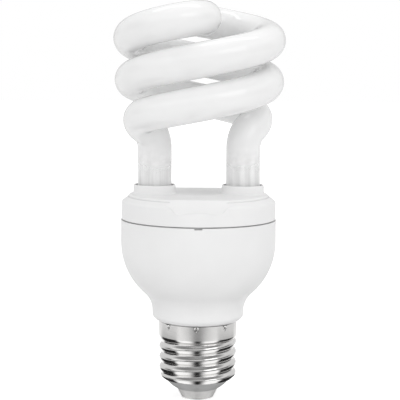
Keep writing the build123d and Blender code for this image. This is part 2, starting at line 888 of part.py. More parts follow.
# Choke winding: the wound wire as one rounded ring between the flanges
with BuildPart() as choke_winding:
    with BuildSketch(Plane.XY.offset(bobbin_z + flange_t + winding_fit)):
        with Locations(choke_at):
            inner_x = tube_x + 2 * bobbin_wall + 2 * winding_fit
            inner_y = tube_y + 2 * bobbin_wall + 2 * winding_fit
            RectangleRounded(inner_x + 2 * winding_t, inner_y + 2 * winding_t, winding_t)
            Rectangle(inner_x, inner_y, mode=Mode.SUBTRACT)
    extrude(amount=window_h - 2 * flange_t - 2 * winding_fit)
choke_winding.part.label = "choke_winding"
export_step(choke_winding.part, "parts/choke_winding.step")


# Drive transformer: a ring core under the board and three windings round its section
ring_top_z = board_z - turns_t - turns_fit
ring_plane = Plane((ring_at[0], ring_at[1], ring_top_z - ring_h))

with BuildPart() as ring_core:
    with BuildSketch(ring_plane):
        Circle(ring_r)
        Circle(ring_bore_r, mode=Mode.SUBTRACT)
    extrude(amount=ring_h)
    chamfer(ring_core.edges().filter_by(GeomType.CIRCLE), ring_edge)
ring_core.part.label = "ring_core"
export_step(ring_core.part, "parts/ring_core.step")

with BuildPart() as ring_windings:
    ring_mid_r = (ring_r + ring_bore_r) / 2
    for angle in (30, 150, 270):
        way = Vector(cos(radians(angle)), sin(radians(angle)), 0)
        middle = Vector(ring_at[0], ring_at[1], ring_top_z - ring_h / 2) + way * ring_mid_r
        with BuildSketch(Plane(middle, x_dir=way, z_dir=(way.Y, -way.X, 0))):
            inner_w = ring_r - ring_bore_r + 2 * turns_fit
            inner_h = ring_h + 2 * turns_fit
            Rectangle(inner_w + turns_bow + 2 * turns_t, inner_h + 2 * turns_t)
            Rectangle(inner_w + turns_bow, inner_h, mode=Mode.SUBTRACT)
        extrude(amount=turns_w / 2, both=True)
ring_windings.part.label = "ring_windings"
export_step(ring_windings.part, "parts/ring_windings.step")


# Two switching transistors on three leads each
with BuildPart() as power_transistors:
    with BuildSketch(Plane.XY.offset(board_z - transistor_gap)):
        with Locations(transistor_places):
            Rectangle(transistor_size[0], transistor_size[1])
    extrude(amount=-transistor_size[2])
    edges = power_transistors.edges().filter_by(Axis.Y)
    chamfer(edges.group_by(Axis.X)[-1], film_round)
    with BuildSketch(Plane.XY.offset(board_z - transistor_gap)):
        with Locations(transistor_leads):
            Circle(lead_r)
    extrude(amount=transistor_gap + board_t + lead_up)
power_transistors.part.label = "power_transistors"
export_step(power_transistors.part, "parts/power_transistors.step")


# Box capacitors, each on two leads
film_names = ("resonant_capacitor", "blocking_capacitor")
for name, size, place, leads in zip(
    film_names, film_sizes, film_places, (film_leads[:2], film_leads[2:])
):
    with BuildPart() as film_capacitor:
        with BuildSketch(Plane.XY.offset(board_z)):
            with Locations(place):
                RectangleRounded(size[0], size[1], film_round)
        extrude(amount=-size[2])
        chamfer(film_capacitor.edges().group_by(Axis.Z)[0], film_round / 2)
        with BuildSketch(Plane.XY.offset(board_z)):
            with Locations(leads):
                Circle(lead_r)
        extrude(amount=board_t + lead_up)
    film_capacitor.part.label = name
    export_step(film_capacitor.part, f"parts/{name}.step")


# Input choke: a waisted drum on two leads
with BuildPart() as input_choke:
    with BuildSketch(Plane((input_at[0], input_at[1], board_z), x_dir=(1, 0, 0), z_dir=(0, -1, 0))):
        with BuildLine():
            Line((0, 0), (input_r, 0))
            Line((input_r, 0), (input_r, -input_waist))
            ThreePointArc(
                (input_r, -input_waist),
                (input_r - input_waist, -input_h / 2),
                (input_r, input_waist - input_h),
            )
            Line((input_r, input_waist - input_h), (input_r, -input_h))
            Line((input_r, -input_h), (0, -input_h))
            Line((0, -input_h), (0, 0))
        make_face()
    revolve(axis=Axis((input_at[0], input_at[1], 0), (0, 0, 1)))
    with BuildSketch(Plane.XY.offset(board_z)):
        with Locations(input_leads):
            Circle(lead_r)
    extrude(amount=board_t + lead_up)
input_choke.part.label = "input_choke"
export_step(input_choke.part, "parts/input_choke.step")


# Small axial parts: each lies under the board, its leads bent up through it
axial_kinds = (
    ("rectifier_diodes", diode_r, diode_l, diode_angles),
    ("resistors", resistor_r, resistor_l, resistor_angles),
    ("trigger_diode", trigger_r, trigger_l, (trigger_angle,)),
)
for name, body_radius, length, angles in axial_kinds:
    with BuildPart() as axial_part:
        for angle in angles:
            way = Vector(-sin(radians(angle)), cos(radians(angle)), 0)
            axis_z = Vector(0, 0, board_z - body_radius)
            with BuildSketch(Plane(on_ring(angle) + axis_z, z_dir=way)):
                Circle(body_radius)
            extrude(amount=length / 2, both=True)
            for side in (-1, 1):
                end = on_ring(angle, side * length / 2) + axis_z
                bend = on_ring(angle, side * (length / 2 + axial_lead)) + axis_z
                with BuildLine() as lead_path:
                    FilletPolyline(
                        end,
                        bend,
                        Vector(bend.X, bend.Y, board_top + lead_up),
                        radius=2 * lead_r,
                    )
                with BuildSketch(Plane(end, z_dir=way * side)):
                    Circle(lead_r)
                sweep(path=lead_path.wire())
    axial_part.part.label = name
    export_step(axial_part.part, f"parts/{name}.step")


# Fusible resistor above the contact, its lower lead down to the solder
fuse_foot_z = insulator_top + fuse_lift
fuse_top_z = fuse_foot_z + fuse_l
solder_top_z = 3 * solder_dish

with BuildPart() as fusible_resistor:
    with BuildSketch(Plane.XY.offset(fuse_foot_z)):
        Circle(fuse_r)
    extrude(amount=fuse_l)
    fillet(fusible_resistor.edges().filter_by(GeomType.CIRCLE), fuse_r / 3)
    with BuildSketch(Plane.XY.offset(solder_top_z)):
        Circle(lead_r)
    extrude(amount=fuse_top_z + fuse_stub - solder_top_z)
fusible_resistor.part.label = "fusible_resistor"
export_step(fusible_resistor.part, "parts/fusible_resistor.step")


# Wire from the fusible resistor up past the bulk capacitor to the board
contact_wire_foot = (0, 0, fuse_top_z + fuse_stub)
contact_bend_z = fuse_top_z + fuse_stub + contact_wire_rise

with BuildPart() as contact_wire:
    with BuildLine() as contact_path:
        FilletPolyline(
            contact_wire_foot,
            (0, 0, contact_bend_z),
            (contact_wire_x, 0, contact_bend_z + contact_wire_slope),
            (contact_wire_x, 0, board_top + lead_up),
            radius=wire_bend,
        )
    with BuildSketch(Plane(contact_wire_foot, z_dir=up)):
        Circle(wire_r)
    sweep(path=contact_path.wire())
contact_wire.part.label = "contact_wire"
export_step(contact_wire.part, "parts/contact_wire.step")


# Wire from the board to the inside of the screw shell, below the neck
shell_wire_foot_z = neck_foot_z - shell_wire_drop
shell_inner_r = root_r - shell_wall
shell_wire_start = (0, shell_wire_y, board_top + lead_up)

with BuildPart() as shell_wire:
    with BuildLine() as shell_path:
        FilletPolyline(
            shell_wire_start,
            (0, shell_wire_y, shell_wire_foot_z),
            (0, -sqrt(shell_inner_r**2 - wire_r**2), shell_wire_foot_z),
            radius=wire_r * 2,
        )
    with BuildSketch(Plane(shell_wire_start, z_dir=(0, 0, -1))):
        Circle(wire_r)
    sweep(path=shell_path.wire())
shell_wire.part.label = "shell_wire"
export_step(shell_wire.part, "parts/shell_wire.step")
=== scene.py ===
# %% [markdown]
# # A compact fluorescent lamp, dressed in Blender
# The lamp has a glass tube bent into a double spiral, a white moulded cover and housing,
# and a nickel screw cap. Its exact solids come from CAD. This script loads them, makes
# smooth surfaces for what the eye sees first, and gives every piece a procedural finish.

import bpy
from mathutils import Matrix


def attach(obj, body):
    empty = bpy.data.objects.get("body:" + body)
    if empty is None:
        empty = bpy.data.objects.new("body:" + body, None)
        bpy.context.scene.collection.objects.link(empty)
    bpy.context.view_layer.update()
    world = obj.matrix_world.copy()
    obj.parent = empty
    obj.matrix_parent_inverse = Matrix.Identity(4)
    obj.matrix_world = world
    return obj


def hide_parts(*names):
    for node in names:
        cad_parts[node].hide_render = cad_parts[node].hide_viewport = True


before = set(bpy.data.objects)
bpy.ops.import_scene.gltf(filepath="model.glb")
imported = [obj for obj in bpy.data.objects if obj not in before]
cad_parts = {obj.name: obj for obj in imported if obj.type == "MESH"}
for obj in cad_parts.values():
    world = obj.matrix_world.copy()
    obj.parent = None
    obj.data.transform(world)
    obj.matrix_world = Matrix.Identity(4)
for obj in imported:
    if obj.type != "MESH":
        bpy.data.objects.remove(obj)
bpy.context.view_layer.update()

from math import acos, atan2, cos, pi, radians, sin, sqrt

import bmesh
import bpy
from mathutils import Matrix, Vector

MM = 0.001

# %% [markdown]
# ## Camera
# The picture was taken from the front, a little above the lamp, with a long lens. The
# camera is placed by its distance and its downward tilt, and turned a third of a degree
# about its own axis, because the lamp leans that much in the picture.

# %% Camera
CAMERA_DISTANCE = 445.15 * MM
CAMERA_HEIGHT = 116.90 * MM
CAMERA_TILT = radians(6.224)
CAMERA_ROLL = radians(0.38)
CAMERA_SHIFT = 0.0035
FOCAL_PX = 1309.5
FRAME_PX = 400
SENSOR_WIDTH = 36.0
NEAREST = 0.01
FARTHEST = 50.0

camera_data = bpy.data.cameras.new("camera")
camera_data.sensor_width = SENSOR_WIDTH
camera_data.lens = FOCAL_PX / FRAME_PX * SENSOR_WIDTH
camera_data.shift_x = CAMERA_SHIFT
camera_data.clip_start = NEAREST
camera_data.clip_end = FARTHEST
camera = bpy.data.objects.new("camera", camera_data)
bpy.context.scene.collection.objects.link(camera)
camera.matrix_world = (
    Matrix.Translation((0, -CAMERA_DISTANCE, CAMERA_HEIGHT))
    @ Matrix.Rotation(pi / 2 - CAMERA_TILT, 4, "X")
    @ Matrix.Rotation(CAMERA_ROLL, 4, "Z")
)
bpy.context.scene.camera = camera
print("lens in mm:", round(camera_data.lens, 1))

# %% [markdown]
# ## Node helpers
# Shader and geometry trees are made of the same kind of nodes. One small helper adds a
# node, sets its values and joins its inputs, so that each tree below reads like a recipe.


# %% Node helpers
def add_node(tree, kind, inputs=(), **settings):
    """add a node; inputs maps a socket's name or number to a value or to another socket"""
    node = tree.nodes.new(kind)
    for name, value in settings.items():
        setattr(node, name, value)
    for key, value in dict(inputs).items():
        socket = node.inputs[key]
        if isinstance(value, bpy.types.NodeSocket):
            tree.links.new(value, socket)
        else:
            socket.default_value = value
    return node


def calc(tree, operation, a, b=None, c=None, clamp=False):
    """one Math node, joined to numbers or sockets; gives its result socket"""
    values = {i: v for i, v in enumerate((a, b, c)) if v is not None}
    kind = "ShaderNodeMath"
    return add_node(tree, kind, values, operation=operation, use_clamp=clamp).outputs[0]


def ramp(tree, value, low, high, start=0.0, end=1.0):
    """smooth step of a value from start to end while it goes from low to high"""
    inputs = {"Value": value, "From Min": low, "From Max": high, "To Min": start, "To Max": end}
    kind = "ShaderNodeMapRange"
    return add_node(tree, kind, inputs, interpolation_type="SMOOTHSTEP").outputs["Result"]


def blend_colour(tree, factor, first, second):
    """mix of two colours by a factor"""
    inputs = {0: factor, 6: first, 7: second}
    return add_node(tree, "ShaderNodeMix", inputs, data_type="RGBA").outputs[2]


def mix_shaders(tree, factor, first, second):
    """mix of two shaders by a factor"""
    return add_node(tree, "ShaderNodeMixShader", {0: factor, 1: first, 2: second}).outputs[0]


def grey(value, warmth=0.0):
    """a nearly neutral colour"""
    return (value, value * (1 - warmth / 2), value * (1 - warmth), 1.0)


def parts_of(tree, vector):
    """x, y and z of a vector"""
    return add_node(tree, "ShaderNodeSeparateXYZ", {0: vector}).outputs


def object_place(tree):
    """the place on the piece, measured from the lamp's origin"""
    return add_node(tree, "ShaderNodeTexCoord").outputs["Object"]


def light_path(tree, name):
    """one output of the Light Path node"""
    return add_node(tree, "ShaderNodeLightPath").outputs[name]


def either(tree, first, second):
    """1 for light of either of two kinds"""
    return calc(tree, "MAXIMUM", light_path(tree, first), light_path(tree, second))


print("node helpers ready")

# %% [markdown]
# ## Effects that several finishes share
# Moulded plastic, glass and sheet metal all have a little unevenness. Three node groups
# make it: cloudy variation, a fine grain and the streaks that drawing or wiping leaves.
# A fourth paints shade into narrow corners, where little light comes in. Each is built
# once and placed in the materials with its own values.

# %% Limits and helpers of the shared effects
CLOUD_LIMITS = (0.3, 0.7)
STREAK_LIMITS = (0.35, 0.65)
CREASE_LIMITS = (0.35, 0.95)
CREASE_SAMPLES = 12
CLOUD_DETAIL = 3.0
GRAIN_DETAIL = 2.0
STREAK_DETAIL = 2.0


def new_group(name, inputs, result):
    """an empty shader group with named float inputs and one named result"""
    group = bpy.data.node_groups.new(name, "ShaderNodeTree")
    face = group.interface
    for label, value in inputs.items():
        socket = face.new_socket(label, in_out="INPUT", socket_type="NodeSocketFloat")
        socket.default_value = value
    face.new_socket(result, in_out="OUTPUT", socket_type="NodeSocketFloat")
    enter = group.nodes.new("NodeGroupInput").outputs
    leave = group.nodes.new("NodeGroupOutput").inputs
    return group, enter, leave[result]


def per_metre(group, size_mm):
    """how many sizes in millimetres fit in a metre"""
    return calc(group, "DIVIDE", 1 / MM, size_mm)


def noise(group, place, scale, detail):
    """smooth noise between 0 and 1"""
    inputs = {"Vector": place, "Scale": scale, "Detail": detail}
    return add_node(group, "ShaderNodeTexNoise", inputs).outputs["Fac"]


print("limits of the clouds, streaks and creases:", CLOUD_LIMITS, STREAK_LIMITS, CREASE_LIMITS)


# %% Shared effect groups
def cloudy_group():
    """soft variation over a few millimetres"""
    sizes = {"Size mm": 8.0, "Low": 0.0, "High": 1.0}
    group, enter, mask = new_group("cloudy_variation", sizes, "Mask")
    clouds = noise(group, object_place(group), per_metre(group, enter["Size mm"]), CLOUD_DETAIL)
    group.links.new(ramp(group, clouds, *CLOUD_LIMITS, enter["Low"], enter["High"]), mask)
    return group


def grain_group():
    """fine texture as a spark-eroded mould or a powder coat gives it"""
    group, enter, height = new_group("fine_grain", {"Size mm": 0.4, "Depth": 1.0}, "Height")
    grain = noise(group, object_place(group), per_metre(group, enter["Size mm"]), GRAIN_DETAIL)
    group.links.new(calc(group, "MULTIPLY", grain, enter["Depth"]), height)
    return group


def streak_group():
    """marks drawn out along one direction: Across is their width and Along their length"""
    sizes = {"Across mm": 0.8, "Along mm": 12.0, "Low": 0.0, "High": 1.0}
    group, enter, mask = new_group("drawn_streaks", sizes, "Mask")
    place = parts_of(group, object_place(group))
    across = per_metre(group, enter["Across mm"])
    along = per_metre(group, enter["Along mm"])
    scales = (across, across, along)
    stretched = {i: calc(group, "MULTIPLY", place[i], scales[i]) for i in range(3)}
    vector = add_node(group, "ShaderNodeCombineXYZ", stretched).outputs[0]
    streaks = noise(group, vector, 1.0, STREAK_DETAIL)
    group.links.new(ramp(group, streaks, *STREAK_LIMITS, enter["Low"], enter["High"]), mask)
    return group


def crease_group():
    """painted shade: darker tone in narrow corners, where little light comes in"""
    sizes = {"Reach mm": 1.5, "Low": 0.0, "High": 1.0}
    group, enter, mask = new_group("crease_shade", sizes, "Mask")
    inputs = {"Distance": calc(group, "MULTIPLY", enter["Reach mm"], MM)}
    corner = add_node(group, "ShaderNodeAmbientOcclusion", inputs, samples=CREASE_SAMPLES)
    open_share = corner.outputs["AO"]
    group.links.new(ramp(group, open_share, *CREASE_LIMITS, enter["High"], enter["Low"]), mask)
    return group


CLOUDY = cloudy_group()
GRAIN = grain_group()
STREAKS = streak_group()
CREASE = crease_group()
print("effect groups:", CLOUDY.name, GRAIN.name, STREAKS.name, CREASE.name)


# %% Material helpers
def place_group(tree, group, **values):
    """place a shared effect in a material with its own values; underscores stand for spaces"""
    inputs = {key.replace("_", " "): value for key, value in values.items()}
    return add_node(tree, "ShaderNodeGroup", inputs, node_tree=group).outputs[0]


def new_finish(name, **plain):
    """a material with one Principled shader; plain values go straight on its sockets"""
    material = bpy.data.materials.new(name)
    material.use_nodes = True
    tree = material.node_tree
    shader = tree.nodes["Principled BSDF"]
    for key, value in plain.items():
        shader.inputs[key.replace("_", " ")].default_value = value
    return material, tree, shader


def join(tree, socket, shader, name):
    """join a socket to a named input of the shader"""
    tree.links.new(socket, shader.inputs[name])


def mottled(tree, dark, light, size_mm):
    """a colour that drifts between two tones over a few millimetres"""
    return blend_colour(tree, place_group(tree, CLOUDY, Size_mm=size_mm), dark, light)


def bump(tree, shader, grain_mm, strength, distance_mm=0.02):
    """give the shader a fine grain as a bump"""
    grain = place_group(tree, GRAIN, Size_mm=grain_mm)
    inputs = {"Height": grain, "Strength": strength, "Distance": distance_mm * MM}
    join(tree, add_node(tree, "ShaderNodeBump", inputs).outputs["Normal"], shader, "Normal")


print("material helpers ready")

# %% [markdown]
# ## The finish of the glass
# The tube is clear glass with a white powder coat inside. Where the coat is thick the
# tube looks like glossy milk glass. Near the cover the coat thins out and the bare glass
# shows. So there are three surfaces: milk glass that fades out down the legs, clear glass
# under it, and a thin streaky rest of powder inside the clear part.

# %% Milk glass
# the coat thins out from COAT_FULL down to COAT_END, on a line that wobbles a little
COAT_END = 77.5 * MM
COAT_FULL = 86.0 * MM
COAT_WOBBLE = 0.8 * MM
# light gets through the coat this much higher up than it looks, to the powder inside
LIT_ZONE = 7.0 * MM
# painted shade: the glass is darkened at the tube's edges, where it is seen at a low angle
RIM_FROM = 0.72
RIM_TO = 0.97
RIM_SHADE_GREY = 0.60


def milk_glass():
    """glossy white glass whose coat fades out down the legs"""
    material, tree, shader = new_finish(
        "milk_glass",
        IOR=1.5,
        Specular_IOR_Level=0.15,
        Coat_Weight=1.0,
        Coat_Roughness=0.0,
        Coat_IOR=1.5,
    )
    coat = mottled(tree, grey(0.90), grey(0.92), size_mm=9.0)
    # painted shade at the tube's edges, by the angle at which the surface is seen
    facing = add_node(tree, "ShaderNodeLayerWeight", {"Blend": 0.5}).outputs["Facing"]
    rim_shade = ramp(tree, facing, RIM_FROM, RIM_TO)
    join(tree, blend_colour(tree, rim_shade, coat, grey(RIM_SHADE_GREY)), shader, "Base Color")
    roughness = place_group(tree, CLOUDY, Size_mm=4.0, Low=0.45, High=0.55)
    join(tree, roughness, shader, "Roughness")
    height = parts_of(tree, object_place(tree))[2]
    wobble = place_group(tree, CLOUDY, Size_mm=7.0, Low=-COAT_WOBBLE, High=COAT_WOBBLE)
    through = either(tree, "Is Shadow Ray", "Is Diffuse Ray")
    lit = calc(tree, "MULTIPLY", through, LIT_ZONE)
    edge = calc(tree, "SUBTRACT", calc(tree, "ADD", height, wobble), lit)
    join(tree, ramp(tree, edge, COAT_END, COAT_FULL), shader, "Alpha")
    return material


MILK_GLASS = milk_glass()
print("milk glass fades between", COAT_END / MM, "and", COAT_FULL / MM, "mm")

# %% Clear glass and powder film
FILM_STREAKS = {"Across_mm": 1.6, "Along_mm": 24.0}


def clear_glass():
    """bare glass of the legs; light falls through it on the powder behind it"""
    material, tree, shader = new_finish(
        "clear_glass",
        Metallic=0.0,
        IOR=1.48,
        Transmission_Weight=1.0,
    )
    streaks = place_group(tree, STREAKS, Across_mm=1.2, Along_mm=20.0)
    join(tree, blend_colour(tree, streaks, grey(0.97), grey(1.0)), shader, "Base Color")
    roughness = place_group(tree, CLOUDY, Size_mm=6.0, Low=0.02, High=0.08)
    join(tree, roughness, shader, "Roughness")
    clear = add_node(tree, "ShaderNodeBsdfTransparent")
    through = either(tree, "Is Shadow Ray", "Is Diffuse Ray")
    both = mix_shaders(tree, through, shader.outputs[0], clear.outputs[0])
    tree.links.new(both, tree.nodes["Material Output"].inputs["Surface"])
    return material


def powder_film():
    """thin, streaky rest of the powder coat inside the clear legs"""
    material, tree, shader = new_finish("powder_film", IOR=1.3)
    streaks = place_group(tree, STREAKS, **FILM_STREAKS)
    join(tree, blend_colour(tree, streaks, grey(0.88), grey(0.95)), shader, "Base Color")
    cover = place_group(tree, STREAKS, **FILM_STREAKS, Low=0.88, High=0.96)
    join(tree, cover, shader, "Alpha")
    roughness = place_group(tree, CLOUDY, Size_mm=2.0, Low=0.7, High=0.9)
    join(tree, roughness, shader, "Roughness")
    return material


CLEAR_GLASS = clear_glass()
POWDER_FILM = powder_film()
print("glass finishes:", MILK_GLASS.name, CLEAR_GLASS.name, POWDER_FILM.name)

# %% [markdown]
# ## The finish of the plastic and the metals
# The cover and the housing are moulded in one white plastic with a satin skin. The cap is
# thin brass with bright nickel plate: a mirror with faint streaks from the rolling. The
# insulator is a dull grey, and the contact below it is a finely turned, paler metal.

# %% White plastic
# height in mm of the screw shell's top edge, on which the housing's flange sits
SHELL_TOP = 26.95
# painted shade in the seam: dark up to JOINT_FROM above that edge, gone by JOINT_TO
JOINT_FROM = 0.15
JOINT_TO = 0.4
JOINT_SHADE_SHARE = 0.9
JOINT_SHADE_GREY = 0.12
# grey of the painted shade in narrow corners
CREASE_SHADE_GREY = 0.48


def moulded_white():
    """satin white plastic with a very fine mould texture"""
    material, tree, shader = new_finish("moulded_white", IOR=1.49, Specular_IOR_Level=0.15)
    plastic = mottled(tree, grey(0.865), grey(0.885), size_mm=14.0)
    # painted shade in narrow corners, darker where little light comes in
    crease = place_group(tree, CREASE, Reach_mm=1.5, High=0.5)
    shaded = blend_colour(tree, crease, plastic, grey(CREASE_SHADE_GREY))
    height = parts_of(tree, object_place(tree))[2]
    low, high = ((SHELL_TOP + rise) * MM for rise in (JOINT_FROM, JOINT_TO))
    # painted shade along the seam where the flange's foot meets the shell
    seam_shade = ramp(tree, height, low, high, JOINT_SHADE_SHARE, 0.0)
    join(tree, blend_colour(tree, seam_shade, shaded, grey(JOINT_SHADE_GREY)), shader, "Base Color")
    roughness = place_group(tree, CLOUDY, Size_mm=6.0, Low=0.36, High=0.44)
    join(tree, roughness, shader, "Roughness")
    bump(tree, shader, grain_mm=0.35, strength=0.12)
    return material


MOULDED_WHITE = moulded_white()
print("plastic:", MOULDED_WHITE.name)

# %% Metals and dull solids
METAL_WARMTH = 0.02
METAL_SPREAD = 0.08
SOLID_SPREAD = 0.06


def metal_tone(tree, dark, light, size_mm):
    """slightly warm metal that drifts between two greys"""
    return mottled(tree, grey(dark, METAL_WARMTH), grey(light, METAL_WARMTH), size_mm)


def nickel_plate():
    """bright rolled sheet metal"""
    material, tree, shader = new_finish("nickel_plate", Metallic=1.0)
    join(tree, metal_tone(tree, 0.74, 0.80, size_mm=5.0), shader, "Base Color")
    rolled = place_group(tree, STREAKS, Across_mm=6.0, Along_mm=0.25, Low=0.13, High=0.19)
    join(tree, rolled, shader, "Roughness")
    bump(tree, shader, grain_mm=1.2, strength=0.03)
    return material


def dull_metal(name, dark, light, roughness, metal=1.0):
    """plated or tinned metal without a mirror shine"""
    material, tree, shader = new_finish(name, Metallic=metal)
    join(tree, metal_tone(tree, dark, light, size_mm=1.5), shader, "Base Color")
    low, high = roughness - METAL_SPREAD, roughness + METAL_SPREAD
    turned = place_group(tree, STREAKS, Across_mm=4.0, Along_mm=0.15, Low=low, High=high)
    join(tree, turned, shader, "Roughness")
    bump(tree, shader, grain_mm=0.3, strength=0.15)
    return material


def dull_solid(name, dark, light, roughness, grain_mm=0.5, strength=0.2):
    """matt or half-matt solid: insulator, putty, laminate, ferrite, resin, lacquer"""
    material, tree, shader = new_finish(name)
    join(tree, mottled(tree, dark, light, size_mm=3.0), shader, "Base Color")
    low, high = roughness - SOLID_SPREAD, roughness + SOLID_SPREAD
    join(tree, place_group(tree, CLOUDY, Size_mm=2.0, Low=low, High=high), shader, "Roughness")
    bump(tree, shader, grain_mm, strength, distance_mm=0.03)
    return material


NICKEL_PLATE = nickel_plate()
CONTACT_METAL = dull_metal("contact_metal", 0.72, 0.78, roughness=0.70, metal=0.2)
SOLDER = dull_metal("solder", 0.62, 0.70, roughness=0.30)
INSULATOR = dull_solid("insulator_grey", grey(0.43), grey(0.47), roughness=0.6, strength=0.1)
print("cap finishes:", NICKEL_PLATE.name, CONTACT_METAL.name, SOLDER.name, INSULATOR.name)

# %% [markdown]
# ## The spiral tube
# The real tube is one straight glass tube, softened and wound. Its middle line goes up a
# leg, swings out in two smooth arcs, climbs a slightly flaring spiral, and swings in over
# the top to the bridge. The second strand is the first turned half round. That is a rule,
# so the line is worked out from a few sizes and a Geometry Nodes tree sweeps it. A
# subdivided cage would need every bend placed by hand.

# %% Sizes of the spiral, in millimetres and degrees
TUBE_R = 5.8
COIL_R = 22.95
COIL_FLARE = 0.9
COIL_LEAD = 27.92
COIL_START = 219.5
COIL_END = 592.2
COIL_HALF_TURN_Z = 94.97
# the spiral has its radius COIL_R at this angle
FLARE_MIDDLE = 410.0
LEG_X = 15.08
LEG_TOP_Z = 86.07
FOOT_Z = 64.17
FOOT_ROUND = 2.2
BRIDGE_TURN = 105.0
BRIDGE_HALF = 3.6
BRIDGE_Z = 129.97
# how far the first of two arcs reaches along its tangent, as a share of the second's reach
LEG_ARC_RATIO = 0.634
BRIDGE_ARC_RATIO = 1.32
# distance between points on the line, and the small turn in degrees that gives its direction
STEP = 0.6
NUDGE = 0.01
print("turns of one strand:", round((COIL_END - COIL_START) / 360, 2))


# %% Runs of the line
def coil_point(angle):
    """point of the spiral's middle line at an angle in degrees"""
    r = COIL_R + COIL_FLARE * (angle - FLARE_MIDDLE) / 360
    z = COIL_HALF_TURN_Z + COIL_LEAD * (angle - 180) / 360
    return Vector((r * cos(radians(angle)), r * sin(radians(angle)), z))


def coil_way(angle):
    """direction of the spiral's middle line"""
    return (coil_point(angle + NUDGE) - coil_point(angle - NUDGE)).normalized()


def meeting_point(start, start_way, end, end_way, ratio):
    """point where two arcs that leave start and end along their directions meet"""
    span = end - start
    pull = start_way * ratio + end_way
    a = pull.dot(pull) - (ratio + 1) ** 2
    b = -2 * span.dot(pull)
    root = sqrt(b * b - 4 * a * span.dot(span))
    reach = min(x for x in ((-b + root) / (2 * a), (-b - root) / (2 * a)) if x > 0)
    return (start + start_way * (ratio * reach) + (end - end_way * reach) * ratio) / (1 + ratio)


def arc_points(start, way, end):
    """points on the arc from start, leaving along way, to end; the last direction too"""
    chord = end - start
    side = (chord - way * chord.dot(way)).normalized()
    radius = chord.length_squared / (2 * chord.dot(side))
    turn = 2 * acos(chord.normalized().dot(way))
    count = max(2, round(radius * turn / STEP))
    points = []
    for i in range(count + 1):
        angle = turn * i / count
        points.append(start + way * (radius * sin(angle)) + side * (radius * (1 - cos(angle))))
    return points, way * cos(turn) + side * sin(turn)


def two_arcs(start, way, bend, end):
    """points on the arc from start to the bend and on the next one to end, after start"""
    first, way = arc_points(start, way, bend)
    second, way = arc_points(bend, way, end)
    return first[1:] + second[1:]


def straight_points(start, end):
    """points on a straight run"""
    count = max(2, round((end - start).length / STEP))
    return [start.lerp(end, i / count) for i in range(count + 1)]


print("the spiral starts at", [round(c, 2) for c in coil_point(COIL_START)])

# %% Middle line of the tube
up = Vector((0, 0, 1))
foot = Vector((-LEG_X, 0, FOOT_Z))
leg_top = Vector((-LEG_X, 0, LEG_TOP_Z))
bridge_way = Vector((cos(radians(BRIDGE_TURN)), sin(radians(BRIDGE_TURN)), 0))
bridge_middle = Vector((0, 0, BRIDGE_Z))
bridge_start = bridge_middle - bridge_way * BRIDGE_HALF
coil_in, coil_out = coil_point(COIL_START), coil_point(COIL_END)
way_in, way_out = coil_way(COIL_START), coil_way(COIL_END)
leg_bend = meeting_point(leg_top, up, coil_in, way_in, LEG_ARC_RATIO)
top_bend = meeting_point(coil_out, way_out, bridge_start, bridge_way, BRIDGE_ARC_RATIO)

strand = straight_points(foot, leg_top)
strand += two_arcs(leg_top, up, leg_bend, coil_in)
coil_turn = COIL_END - COIL_START
coil_steps = round(radians(coil_turn) * COIL_R / STEP)
strand += [coil_point(COIL_START + coil_turn * i / coil_steps) for i in range(1, coil_steps + 1)]
strand += two_arcs(coil_out, way_out, top_bend, bridge_start)
strand += straight_points(bridge_start, bridge_middle)[1:]
half_turn = Matrix.Rotation(pi, 4, "Z")
spiral_line = strand + [half_turn @ p for p in reversed(strand[:-1])]
print("points on the line:", len(spiral_line))


# %% Helpers for geometry trees
def new_mesh_tree(name, inputs, result):
    """an empty geometry tree; inputs maps each input's name to its kind, or kind and value"""
    tree = bpy.data.node_groups.new(name, "GeometryNodeTree")
    for label, (kind, *value) in inputs.items():
        socket_type = f"NodeSocket{kind}"
        socket = tree.interface.new_socket(label, in_out="INPUT", socket_type=socket_type)
        if value:
            socket.default_value = value[0]
    tree.interface.new_socket(result, in_out="OUTPUT", socket_type="NodeSocketGeometry")
    enter = tree.nodes.new("NodeGroupInput").outputs
    leave = tree.nodes.new("NodeGroupOutput").inputs
    return tree, enter, leave[result]


def end_tree(tree, mesh, finish, leave):
    """smooth shading, then Realize Instances and Set Material as the tree's end"""
    smooth = add_node(tree, "GeometryNodeSetShadeSmooth", {"Geometry": mesh})
    real = add_node(tree, "GeometryNodeRealizeInstances", {"Geometry": smooth.outputs[0]})
    inputs = {"Geometry": real.outputs[0], "Material": finish}
    done = add_node(tree, "GeometryNodeSetMaterial", inputs)
    tree.links.new(done.outputs[0], leave)


def tree_input(tree, name):
    """identifier of a tree's input socket"""
    for item in tree.interface.items_tree:
        if item.item_type == "SOCKET" and item.in_out == "INPUT" and item.name == name:
            return item.identifier
    raise KeyError(name)


def plain_mesh(thing, name):
    """the evaluated object as a plain mesh object; the one it came from is removed"""
    graph = bpy.context.evaluated_depsgraph_get()
    mesh = bpy.data.meshes.new_from_object(thing.evaluated_get(graph), depsgraph=graph)
    mesh.name = name
    bpy.data.objects.remove(thing)
    made = bpy.data.objects.new(name, mesh)
    bpy.context.scene.collection.objects.link(made)
    return made


print("geometry tree helpers ready")


# %% Tree that sweeps a tube along a line
def sweep_tree():
    """Geometry Nodes: a curve with a radius at each point becomes a closed round tube"""
    inputs = {
        "Line": ["Geometry"],
        "Tube Radius": ["Float"],
        "Sides": ["Int"],
        "Finish": ["Material"],
    }
    tree, enter, leave = new_mesh_tree("swept_tube", inputs, "Tube")
    size = {"Resolution": enter["Sides"], "Radius": enter["Tube Radius"]}
    ring = add_node(tree, "GeometryNodeCurvePrimitiveCircle", size)
    curves = {"Curve": enter["Line"], "Profile Curve": ring.outputs["Curve"], "Fill Caps": True}
    swept = add_node(tree, "GeometryNodeCurveToMesh", curves)
    end_tree(tree, swept.outputs["Mesh"], enter["Finish"], leave)
    return tree


SWEEP = sweep_tree()
TUBE_SIDES = 64


